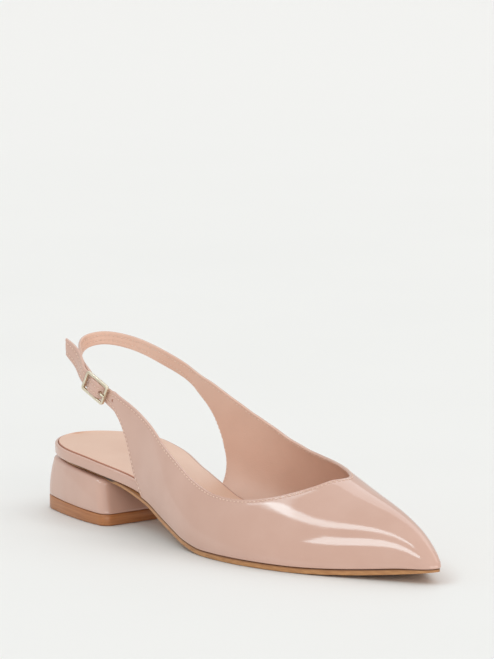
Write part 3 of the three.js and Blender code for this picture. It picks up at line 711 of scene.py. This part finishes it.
def thread():
    finish = Finish("thread")
    twist = finish.noise(2500, detail=2)
    colour = finish.mix(twist.within(0.3, 0.7), srgb(236, 211, 195), srgb(214, 182, 163))
    return finish.done(Base_Color=colour, Roughness=0.55, Normal=finish.bump(twist, 0.00008))


def pale_floor():
    finish = Finish("pale_floor")
    speck = finish.noise(6, detail=2)
    colour = finish.mix(speck.within(0.3, 0.7), (0.86, 0.865, 0.855), (0.85, 0.855, 0.845))
    away = finish.add("ShaderNodeVectorMath", {"operation": "LENGTH"}, {0: finish.place()}, output=1)
    colour = finish.mix(away.within(0.5, 2.2), colour, (0.885, 0.885, 0.875))
    return finish.done(Base_Color=colour, Roughness=0.6)


patent_upper = patent("patent_upper", sewn=True)
patent_plain = patent("patent_plain")
lining_upper = lining_leather()
sock_finish = sock_leather()
sole_finish = sole_leather()
tip_finish = tip_rubber()
gold_finish = gold()
thread_finish = thread()


# Upper
def upper_maps():
    """Maps over the rings: length along an edge and depth from it, far off where it has no seam."""
    far = 50.0
    count = rings.shape[1]
    inside = POINTS_DOWN + ROUND_STEPS
    edge_round = np.zeros((len(ribs), ROUND_STEPS))
    depths = np.concatenate([depth, edge_round, depth[:, ::-1], edge_round], 1)
    depths[:, POINTS_DOWN:inside] = width[:, None]
    top_u = np.repeat(top_length[:, None], count, 1)
    foot_u = np.repeat(foot_length[:, None], count, 1)
    foot_depths = np.where(sole_rib[:, None], far, width[:, None] - depths)
    foot_depths[:, inside + POINTS_DOWN :] = far
    maps = (("top_seam", top_u, depths), ("foot_seam", foot_u, foot_depths))
    return [(label, u / UV_UNIT, v / UV_UNIT) for label, u, v in maps]


def upper_slots(column):
    """Patent leather outside and lining inside, parted at the middle of the rounded edges."""
    inside = POINTS_DOWN + ROUND_STEPS // 2
    return 1 if inside <= column < inside + ROUND_STEPS // 2 + POINTS_DOWN + 2 else 0


upper_mesh = grid_mesh("upper", rings, upper_maps(), caps=True, slots=upper_slots)
upper_finishes = (patent_upper, lining_upper)
upper_piece = new_piece("upper_patent", upper_mesh, "patent_leather", *upper_finishes, stands_for=("upper",))


def punch(ahead, high, radius, long):
    """A round cutter through the strap, ahead of the buckle's middle."""
    drill = bmesh.new()
    turn = Matrix((forward, upward, outward)).transposed().to_4x4()
    turn.translation = Vector(metres(at_buckle(ahead, 0, high)))
    size = {"radius1": radius / 1000, "radius2": radius / 1000, "depth": long / 1000}
    bmesh.ops.create_cone(drill, cap_ends=True, segments=24, matrix=turn, **size)
    data = bpy.data.meshes.new("punch")
    drill.to_mesh(data)
    drill.free()
    tool = bpy.data.objects.new("punch", data)
    bpy.context.scene.collection.objects.link(tool)
    return tool


def cut(piece, tools):
    for tool in tools:
        knife = piece.modifiers.new("cut", "BOOLEAN")
        knife.operation, knife.solver, knife.object = "DIFFERENCE", "EXACT", tool
    bpy.context.view_layer.update()
    shaped = piece.evaluated_get(bpy.context.evaluated_depsgraph_get())
    data = bpy.data.meshes.new_from_object(shaped)
    piece.modifiers.clear()
    piece.data = data
    for tool in tools:
        bpy.data.objects.remove(tool)
    data.set_sharp_from_angle(angle=math.radians(42))


# The prong's hole lies a little behind the ring. Cutters are narrower than the solid's holes.
HOLE_TO_RING = 2.4
FREE_HOLE = HOLE * 0.8
PRONG_HOLE = HOLE * 0.85
PUNCH_HEIGHT = 0.7
PUNCH_LENGTH = 4.4
prong_hole = BUCKLE_LENGTH / 2 - BUCKLE_WIRE - HOLE_TO_RING
free_holes = [punch(prong_hole + step, -WALL / 2, FREE_HOLE, WALL * 2.4) for step in STRAP_HOLES]
cut(upper_piece, [punch(prong_hole, PUNCH_HEIGHT, PRONG_HOLE, PUNCH_LENGTH), *free_holes])


# Stitches, as short threads sunk in the seams. The loop's last ribs, behind the buckle, have none.
HIDDEN_RIBS = 12


def stitch_rows():
    """Middle, direction and face normal of each stitch, along each seam and on both faces."""
    seams = []
    strap_end = loop_start - HIDDEN_RIBS
    for length, column in ((top_length, SEAM_COLUMN), (foot_length, -1 - SEAM_COLUMN)):
        usable = np.ones(len(ribs), bool)
        usable[strap_end:] = False
        if column < 0:
            usable &= ~sole_rib
        for sink, way in ((OUTSIDE_PULL, 1), (WALL - LINING_PULL, -1)):
            points = face[:, column] - out[:, column] * sink
            normals = out[:, column] * way
            stop = length[strap_end]
            for middle in np.arange(STITCH, stop, STITCH):
                near = np.searchsorted(length, middle)
                if not usable[near]:
                    continue
                at = [np.interp(middle, length, points[:, axis]) for axis in range(3)]
                ends = [
                    np.array([np.interp(middle + half, length, points[:, axis]) for axis in range(3)])
                    for half in (-0.5, 0.5)
                ]
                seams.append((np.array(at), unit(ends[1] - ends[0]), normals[near]))
    return seams


def stitched():
    """Every stitch is a copy of one small bead, so the beads share their shape."""
    bead = bmesh.new()
    bmesh.ops.create_uvsphere(bead, u_segments=8, v_segments=6, radius=1)
    for one in bead.faces:
        one.smooth = True
    shape = bpy.data.meshes.new("bead")
    bead.to_mesh(shape)
    count = len(bead.verts)
    bead.free()
    mesh = bmesh.new()
    turns = []
    size = Matrix.Diagonal([half / 1000 for half in THREAD] + [1])
    for middle, direction, normal in stitch_rows():
        side = unit(np.cross(normal, direction))
        lift = np.cross(direction, side)
        turn = Matrix((direction, side, lift)).transposed().to_4x4()
        place = Matrix.Translation(Vector(metres(middle + lift * THREAD_LIFT)))
        turns.append(place @ turn @ size)
        mesh.from_mesh(shape)
    for i, vertex in enumerate(mesh.verts):
        vertex.co = turns[i // count] @ vertex.co
    data = bpy.data.meshes.new("stitches")
    mesh.to_mesh(data)
    mesh.free()
    bpy.data.meshes.remove(shape)
    return data


new_piece("stitches", stitched(), "patent_leather", thread_finish)


# Sole pieces, as slabs with rounded edges over the sole's outline
STATIONS = 150


def outline(margin):
    q = np.linspace(0, 1, STATIONS)
    step = 1e-3
    sides = []
    for edge, side in ((EDGE_OUT, -1), (EDGE_IN, 1)):
        def point(share, edge=edge, side=side):
            x = LENGTH * (1 - np.cos(np.pi * share)) / 2
            back = np.minimum(1, x / HEEL_CURVE)
            half = edge(np.sqrt(np.maximum(0, 1 - x / LENGTH))) * np.sqrt(np.maximum(0, 1 - (1 - back) ** 2))
            return np.stack([x, side * half], -1)
        way = point(np.minimum(1, q + step)) - point(np.maximum(0, q - step))
        way = unit(way)
        way[0], way[-1] = (0, side), (0, -side)
        inward = np.stack([-way[:, 1], way[:, 0]], -1) * -side
        place = point(q)
        sides.append(place + inward * np.asarray(margin(place[:, 0]))[:, None])
    return sides


def slab(name, margin, low, high, round_top, round_low, tray=(), dish=0.0):
    """A sheet over the sole's outline between two heights. A tray, (rim, depth), is sunk in its top."""
    columns, heights = [], []

    def add(extra, share, height, mark):
        outer_side, inner_side = outline(lambda x: margin(x) + extra)
        middle = (outer_side + inner_side) / 2
        loop = []
        for one, centre in ((outer_side, middle), (inner_side[::-1], middle[::-1])):
            spot = centre + (one - centre) * share
            loop.append(np.concatenate([spot, height(spot[:, 0])[:, None]], 1))
        columns.append(np.concatenate(loop))
        heights.append(np.full(2 * STATIONS, mark))

    def plain_side(x):
        return high(x) - round_top - low(x) - round_low

    deep, start = (tray[1], tray[0] + 0.2) if tray else (0, round_top)
    for share in (0, 0.25, 0.5, 0.7, 0.85, 0.94, 0.98):
        add(start, share, lambda x, share=share: high(x) - deep - dish * (1 - share**3), 1.4)
    if tray:
        wall = ((0.2, deep), (0.1, deep), (0.05, deep - 0.1), (0, 0.12), (-0.1, 0.03), (-0.25, 0))
        for inward, sink in wall:
            add(tray[0] + inward, 1, lambda x, sink=sink: high(x) - sink, 1.2)
    for turn in np.linspace(0, math.pi / 2, 7):
        drop = round_top * (1 - math.cos(turn))
        add(round_top * (1 - math.sin(turn)), 1, lambda x, drop=drop: high(x) - drop, 1.0)
    for share in (0.8, 0.6, 0.4, 0.2):
        add(0, 1, lambda x, share=share: low(x) + round_low + plain_side(x) * share, share)
    for turn in np.linspace(0, math.pi / 2, 5):
        lift = round_low * (1 - math.sin(turn))
        add(round_low * (1 - math.cos(turn)), 1, lambda x, lift=lift: low(x) + lift, 0.0)
    for share in (0.8, 0.5, 0.2, 0):
        add(round_low, share, low, 0.0)
    points, marks = np.stack(columns, 1), np.stack(heights, 1)
    run = np.repeat(lengths_along(points[:, 8])[:, None], points.shape[1], 1) / 100
    closing = np.concatenate([points, points[:1]])
    marks = np.concatenate([marks, marks[:1]])
    run = np.concatenate([run, run[:1]])
    return grid_mesh(name, closing, [("edge", run, marks)], closed=False)


def board_margin(x):
    ease = smooth(0.93 * LENGTH, LENGTH, x)
    under_upper = WALL + 2 * GAP
    return under_upper * smooth(0.19 * LENGTH, 0.3 * LENGTH, x) + ease


def sole_margin(x):
    under_upper, under_seat, forepart = WALL + 2 * GAP, 3.2, 0.4
    waisted = under_upper + (forepart - under_upper) * smooth(0.24 * LENGTH, 0.34 * LENGTH, x)
    return under_seat + (waisted - under_seat) * smooth(0.19 * LENGTH, 0.235 * LENGTH, x)


SOCK_EDGE = 1.65
SOCK_TOE = 7
SOCK_SUNK = 0.88
SOCK_PROUD = 0.45


def sock_margin(x):
    return board_margin(x) + SOCK_EDGE + SOCK_TOE * smooth(0.94 * LENGTH, LENGTH, x)


def sock_bottom(x):
    return board_top(x) - SOCK_SUNK


def sock_top(x):
    return board_top(x) + SOCK_PROUD


board_mesh = slab("covered_board", board_margin, board_bottom, board_top, 1.0, 0.9, tray=(1.4, 0.9))
sole_mesh = slab("outsole_leather", sole_margin, sole_bottom, sole_top, 0.12, 0.25)
sock_mesh = slab("sock_lining", sock_margin, sock_bottom, sock_top, 0.35, 0.1, dish=0.6)
new_piece("covered_board", board_mesh, "covered_board", patent_plain, stands_for=("insole_board",))
new_piece("outsole_leather", sole_mesh, "sole_leather", sole_finish, stands_for=("outsole",))
new_piece("sock_lining", sock_mesh, "sock_leather", sock_finish, stands_for=("sock",))


# Heel and its tip. Plan: share of the way from the back to the breast, share of the half width
HEEL_PLAN = np.array([
    (0.0, 0.0), (0.043, 0.48), (0.1, 0.635), (0.163, 0.71), (0.31, 0.795), (0.44, 0.86), (0.56, 0.907),
    (0.67, 0.945), (0.83, 0.985), (1.0, 1.0),
])
HEEL_ROUND = 1.9
EASED_EDGE = 0.25
EASED_HEIGHT = 0.3
heel_half = natural(np.sqrt(HEEL_PLAN[:, 0]), HEEL_PLAN[:, 1])


def heel_outline(set_in, front, count=140):
    """Plan of the heel, from the middle of its breast round its back."""
    half, start = HEEL_WIDTH / 2 - set_in, front - HEEL_CORNER
    turns = np.linspace(0, math.pi / 2, 12)[:-1]
    corner = np.stack([start + HEEL_CORNER * np.cos(turns), HEEL_CORNER * (np.sin(turns) - 1) + half], 1)
    root = np.linspace(1, 0, 80)
    side = np.stack([set_in + (start - set_in) * root**2, half * heel_half(root)], 1)
    inner = np.concatenate([[(front, 0.0)], corner, side])
    points = np.concatenate([inner, inner[-2::-1]])
    points[len(inner):, 1] *= -1
    length = lengths_along(points)
    even = np.linspace(0, length[-1], count + 1)
    return np.stack([np.interp(even, length, points[:, axis]) for axis in (0, 1)], 1)[:-1]


def tip_top(x):
    return TIP_BACK + (TIP_FRONT - TIP_BACK) * x / HEEL_LENGTH


def stack(name, layers):
    """Rings from the floor up, each (outline, height over x), closed by shrinking its ends to a point."""
    rows = []
    for ring, height in layers:
        rows.append(np.concatenate([ring, height(ring[:, 0])[:, None]], 1))
    for end, place in ((rows[0], 0), (rows[-1], len(rows) + 3)):
        centre = end.mean(0)
        inner = [centre + (end - centre) * share for share in (0.9, 0.5, 0.0)]
        for one in inner:
            rows.insert(0, one) if place == 0 else rows.append(one)
    return grid_mesh(name, np.array(rows))


def heel_layers():
    def low(x):
        return tip_top(x) + GAP + EASED_HEIGHT

    def height(x):
        return sole_bottom(x) - GAP - HEEL_ROUND - low(x)

    layers = []
    for turn in np.linspace(0, 1, 4):
        inset = EASED_EDGE * (1 - turn)
        ring = heel_outline(inset, HEEL_LENGTH - inset)
        layers.append((ring, lambda x, turn=turn: tip_top(x) + GAP + EASED_HEIGHT * turn))
    for up in np.linspace(0, 1, 14)[1:]:
        ring = heel_outline(HEEL_SET_IN * up**2, HEEL_LENGTH - BREAST_LEAN * up)
        layers.append((ring, lambda x, up=up: low(x) + height(x) * up))
    for turn in np.linspace(0, math.pi / 2, 7)[1:]:
        inset = HEEL_ROUND * (1 - math.cos(turn))
        lift = HEEL_ROUND * (math.sin(turn) - 1)
        ring = heel_outline(HEEL_SET_IN + inset, HEEL_LENGTH - BREAST_LEAN - inset)
        layers.append((ring, lambda x, lift=lift: sole_bottom(x) - GAP + lift))
    return layers


def tip_layers():
    full, eased = heel_outline(0, HEEL_LENGTH), heel_outline(EASED_EDGE, HEEL_LENGTH - EASED_EDGE)
    return [
        (eased, lambda x: 0 * x), (full, lambda x: 0 * x + EASED_EDGE), (full, lambda x: tip_top(x) / 2),
        (full, lambda x: tip_top(x) - EASED_EDGE), (eased, tip_top),
    ]


heel_mesh = stack("heel_cover", heel_layers())
tip_mesh = stack("heel_tip", tip_layers())
new_piece("heel_cover", heel_mesh, "covered_heel", patent_plain, stands_for=("heel",))
new_piece("heel_tip", tip_mesh, "top_piece_rubber", tip_finish, stands_for=("top_piece",))


# Buckle and prong
def swept(name, path, normals, section, closed):
    """A section, as (sideways, up) points for each share of the way, carried along a path at the buckle."""
    path = np.array(path)
    tangent = unit(np.roll(path, -1, 0) - np.roll(path, 1, 0)) if closed else unit(np.gradient(path, axis=0))
    rows = []
    for i, place in enumerate(path):
        up = np.array(normals[i])
        side = unit(np.cross(tangent[i], up))
        up = np.cross(side, tangent[i])
        rows.append([place + side * a + up * b for a, b in section(i / (len(path) - 1))])
    rows = np.array(rows)
    if closed:
        rows = np.concatenate([rows, rows[:1]])
    else:
        rows = np.concatenate([rows[:1].mean(1, keepdims=True).repeat(rows.shape[1], 1), rows,
                               rows[-1:].mean(1, keepdims=True).repeat(rows.shape[1], 1)])
    points = buckle_middle + rows[..., :1] * forward + rows[..., 1:2] * upward + rows[..., 2:] * outward
    return grid_mesh(name, points)


def rounded_bar(half_side, half_up, radius):
    points = []
    for quarter in range(4):
        for turn in np.linspace(quarter * math.pi / 2, (quarter + 1) * math.pi / 2, 5):
            a = math.copysign(half_side - radius, math.cos(turn + 1e-6)) + radius * math.cos(turn)
            b = math.copysign(half_up - radius, math.sin(turn + 1e-6)) + radius * math.sin(turn)
            points.append((a, b))
    return points


RING_CORNER = 0.9
RING_EDGE = 0.42
RING_ROOM = 0.1
POST_ROOM = 0.3
POST_BEND = 0.8
BAR_RADIUS = PIN * 0.55
RING_MIDDLE = GAP + BUCKLE_DEPTH / 2


def buckle_ring():
    """The rectangular frame: a rounded corner, then a straight side, four times."""
    half_x = BUCKLE_LENGTH / 2 - BUCKLE_WIRE / 2 - RING_CORNER
    half_y = BUCKLE_STRAP / 2 + GAP + RING_ROOM + BUCKLE_WIRE / 2 - RING_CORNER
    corners = []
    for quarter, (a, b) in enumerate(((1, 1), (-1, 1), (-1, -1), (1, -1))):
        turns = np.linspace(quarter * math.pi / 2, (quarter + 1) * math.pi / 2, 7)
        x = a * half_x + RING_CORNER * np.cos(turns)
        y = b * half_y + RING_CORNER * np.sin(turns)
        corners.append(np.stack([x, y, np.full(len(turns), RING_MIDDLE)], 1))
    path = []
    for quarter, corner in enumerate(corners):
        start, stop = corner[-1], corners[(quarter + 1) % 4][0]
        path += [*corner, *(start + (stop - start) * share for share in (0.2, 0.4, 0.6, 0.8))]
    section = rounded_bar(BUCKLE_WIRE / 2, BUCKLE_DEPTH / 2, RING_EDGE)
    return swept("buckle_ring", path, [(0, 0, 1)] * len(path), lambda share: section, closed=True)


def round_bar(radius, count=14):
    turns = np.linspace(0, 2 * math.pi, count, endpoint=False)
    return [(radius * math.cos(turn), radius * math.sin(turn)) for turn in turns]


def buckle_bar():
    """The bar across the middle, bent up at both ends into the ring."""
    reach = BUCKLE_STRAP / 2 + GAP + POST_ROOM
    turns = np.linspace(0, math.pi / 2, 6)
    corner = [(POST_BEND * (1 - math.cos(turn)), POST_BEND * (1 - math.sin(turn))) for turn in turns]
    near = [(-reach, RING_MIDDLE), *((inward - reach, up - pin_depth) for inward, up in corner)]
    across = [(y, -pin_depth) for y in np.linspace(-reach + POST_BEND, reach - POST_BEND, 8)[1:-1]]
    far = [(-y, up) for y, up in near[::-1]]
    path = [(0, y, up) for y, up in near + across + far]
    section = round_bar(BAR_RADIUS)
    return swept("buckle_bar", path, [(1, 0, 0)] * len(path), lambda share: section, closed=False)


def prong_wire():
    """The prong, from its eye on the bar up through the strap's hole to its rest on the ring."""
    eye = PIN + GAP + PRONG
    rest = GAP + BUCKLE_DEPTH + 0.05 + PRONG
    end = BUCKLE_LENGTH / 2
    knots = np.array([
        (eye * 0.9, 0, -pin_depth), (prong_hole - PRONG / 2, 0, -WALL - GAP), (prong_hole, 0, GAP / 2),
        (prong_hole + 0.8, 0, rest * 0.72), (end - BUCKLE_WIRE, 0, rest), (end + 0.3, 0, rest - 0.15),
    ])
    t = lengths_along(knots)
    fine = np.linspace(0, t[-1], 46)
    path = np.stack([natural(t, knots[:, axis])(fine) for axis in range(3)], 1)

    def section(share):
        taper = 1 - 0.35 * max(0, share - 0.8) / 0.2
        return round_bar(PRONG * taper)

    return swept("prong_wire", path, [(0, 1, 0)] * len(path), section, closed=False)


def prong_eye():
    eye = PIN + GAP + PRONG
    turns = np.linspace(0, 2 * math.pi, 32, endpoint=False)
    path = [(eye * math.cos(t), 0, -pin_depth + eye * math.sin(t)) for t in turns]
    return swept("prong_eye", path, [(0, 1, 0)] * len(path), lambda share: round_bar(PRONG), closed=True)


new_piece("buckle_ring", buckle_ring(), "pale_gold", gold_finish, stands_for=("buckle",))
new_piece("buckle_bar", buckle_bar(), "pale_gold", gold_finish)
new_piece("prong_wire", prong_wire(), "pale_gold", gold_finish, stands_for=("prong",))
new_piece("prong_eye", prong_eye(), "pale_gold", gold_finish)


# Floor, light and camera
FLOOR_REACH = 12
FLOOR_DROP = 0.0002
LAMP_DISTANCE = 14.0
LIT_PLACE = (190, 0, 20)
COOL = (0.74, 0.94, 1.0)
PALE_BLUE = (0.88, 0.95, 1.0)
WARM = (1.0, 0.94, 0.9)
STUDIO_WHITE = (1.0, 0.962, 0.932, 1)
STUDIO_STRENGTH = 0.69
SENSOR = 36
PICTURE_HEIGHT = 659
FOCAL_PIXELS = 5663
CAMERA_PLACE = (50.9, 8.8)
CAMERA_TARGET = (125.4, 0, 94.5)
CAMERA_DISTANCE = 2.5


def floor_plane():
    mesh = bmesh.new()
    bmesh.ops.create_grid(mesh, x_segments=1, y_segments=1, size=FLOOR_REACH)
    for vertex in mesh.verts:
        vertex.co.z = -FLOOR_DROP
    data = bpy.data.meshes.new("floor")
    mesh.to_mesh(data)
    mesh.free()
    data.materials.append(pale_floor())
    plane = bpy.data.objects.new("floor", data)
    bpy.context.scene.collection.objects.link(plane)


def direction(azimuth, elevation):
    """Unit vector towards a place seen at an azimuth round the shoe: 0 is its outer side, 90 its toe."""
    a, e = math.radians(azimuth), math.radians(elevation)
    return Vector((math.sin(a) * math.cos(e), -math.cos(a) * math.cos(e), math.sin(e)))


def softbox(name, azimuth, elevation, wide, tall, brightness, roll=0, colour=(1, 1, 1)):
    """A far lamp, with its angular width and height in degrees and its brightness beside a white floor's."""
    lamp = bpy.data.lights.new(name, "AREA")
    lamp.shape, lamp.color = "RECTANGLE", colour
    lamp.size, lamp.size_y = (2 * LAMP_DISTANCE * math.tan(math.radians(angle / 2)) for angle in (wide, tall))
    lamp.energy = brightness * math.pi * lamp.size * lamp.size_y
    item = bpy.data.objects.new(name, lamp)
    bpy.context.scene.collection.objects.link(item)
    way = direction(azimuth, elevation)
    aim = Vector(metres(LIT_PLACE))
    turn = (-way).to_track_quat("-Z", "Y").to_matrix().to_4x4() @ Matrix.Rotation(math.radians(roll), 4, "Z")
    item.matrix_world = Matrix.Translation(aim + way * LAMP_DISTANCE) @ turn


floor_plane()
softbox("strip_top", -19.6, 59.2, 33, 4.2, 4.8, roll=15, colour=COOL)
softbox("strip_low", -1, 46, 24, 7.4, 5.2, roll=-10, colour=COOL)
softbox("side_softbox", -58.7, 57.2, 26, 11, 2.1, roll=-27, colour=COOL)
softbox("front_fill", 70, 14, 70, 26, 1.8, colour=WARM)
softbox("back_fill", 150, 50, 37, 28, 1.15, colour=WARM)
softbox("back_glow", 212, 46, 44, 32, 0.9, colour=PALE_BLUE)

world = bpy.data.worlds.new("studio")
bpy.context.scene.world = world
world.use_nodes = True
world.node_tree.nodes["Background"].inputs["Color"].default_value = STUDIO_WHITE
world.node_tree.nodes["Background"].inputs["Strength"].default_value = STUDIO_STRENGTH

camera = bpy.data.cameras.new("camera")
camera.lens = FOCAL_PIXELS * SENSOR / PICTURE_HEIGHT
camera.sensor_width = SENSOR
camera.clip_end = 100
eye = bpy.data.objects.new("camera", camera)
bpy.context.scene.collection.objects.link(eye)
view = direction(*CAMERA_PLACE)
facing = (-view).to_track_quat("-Z", "Y").to_matrix().to_4x4()
eye.matrix_world = Matrix.Translation(Vector(metres(CAMERA_TARGET)) + view * CAMERA_DISTANCE) @ facing
bpy.context.scene.camera = eye
bpy.context.scene.view_settings.view_transform = "Standard"
